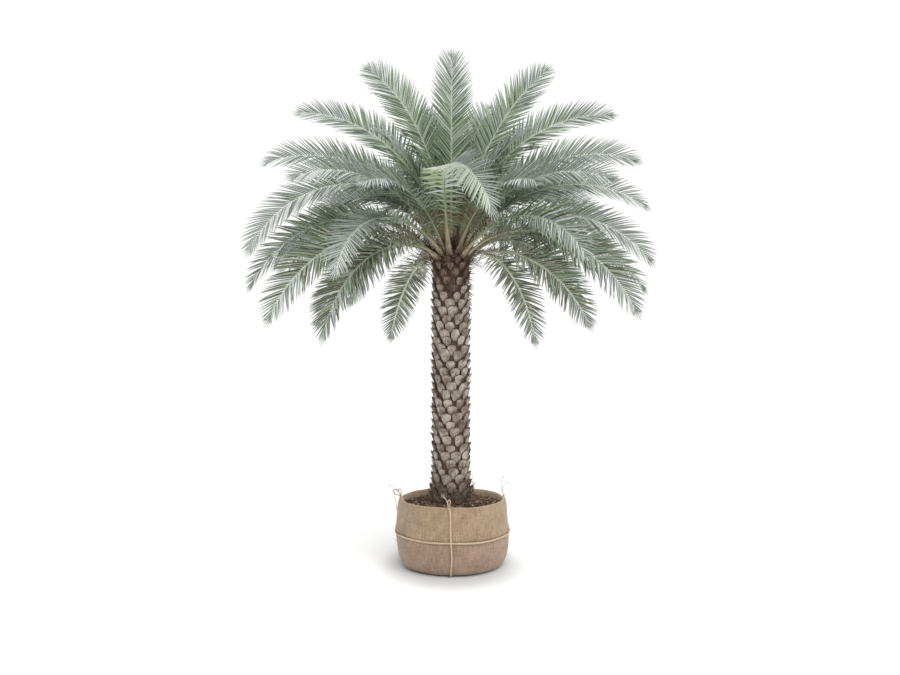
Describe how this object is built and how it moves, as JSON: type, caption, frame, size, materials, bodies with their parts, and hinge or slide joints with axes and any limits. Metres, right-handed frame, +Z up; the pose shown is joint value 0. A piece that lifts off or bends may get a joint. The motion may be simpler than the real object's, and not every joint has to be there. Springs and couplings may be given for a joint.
{
  "type": "sylvester palm",
  "caption": "Sylvester palm with arching feather fronds on a stout trunk clad in old leaf bases, standing in a burlap-wrapped root ball tied with jute rope.",
  "frame": {"origin": "centre of the root ball's flat underside, on the ground", "axes": "+Z up along the trunk, +X to the right of a viewer in front of the palm, -Y towards that viewer"},
  "size_m": [4.1342, 3.6563, 5.076],
  "materials": {
    "leaf": "waxy grey-green leaf",
    "trunk": "weathered grey-brown leaf bases",
    "fibre": "dark matted leaf-sheath fibre",
    "burlap": "coarse open weave",
    "soil": "dark crumbly soil",
    "rope": "twisted jute"
  },
  "bodies": {
    "root": {"frond_01": "leaf", "frond_02": "leaf", "frond_03": "leaf", "frond_04": "leaf", "frond_05": "leaf", "frond_06": "leaf", "frond_07": "leaf", "frond_08": "leaf", "frond_09": "leaf", "frond_10": "leaf", "frond_11": "leaf", "frond_12": "leaf", "frond_13": "leaf", "frond_14": "leaf", "frond_15": "leaf", "frond_16": "leaf", "frond_17": "leaf", "frond_18": "leaf", "frond_19": "leaf", "frond_20": "leaf", "frond_21": "leaf", "frond_22": "leaf", "frond_23": "leaf", "frond_24": "leaf", "frond_25": "leaf", "frond_26": "leaf", "frond_27": "leaf", "frond_28": "leaf", "frond_29": "leaf", "frond_30": "leaf", "frond_31": "leaf", "frond_32": "leaf", "frond_33": "leaf", "frond_34": "leaf", "frond_35": "leaf", "frond_36": "leaf", "frond_37": "leaf", "frond_38": "leaf", "frond_39": "leaf", "frond_40": "leaf", "frond_41": "leaf", "frond_42": "leaf", "frond_43": "leaf", "frond_44": "leaf", "frond_45": "leaf", "frond_46": "leaf", "frond_47": "leaf", "frond_48": "leaf", "frond_49": "leaf", "frond_50": "leaf", "frond_17_tip": "leaf", "frond_27_tip": "leaf", "frond_28_tip": "leaf", "frond_29_tip": "leaf", "frond_30_tip": "leaf", "crown_heart": "fibre", "trunk": "trunk", "root_ball_soil": "soil", "burlap_wrap": "burlap", "jute_rope": "rope"}
  },
  "joints": []
}
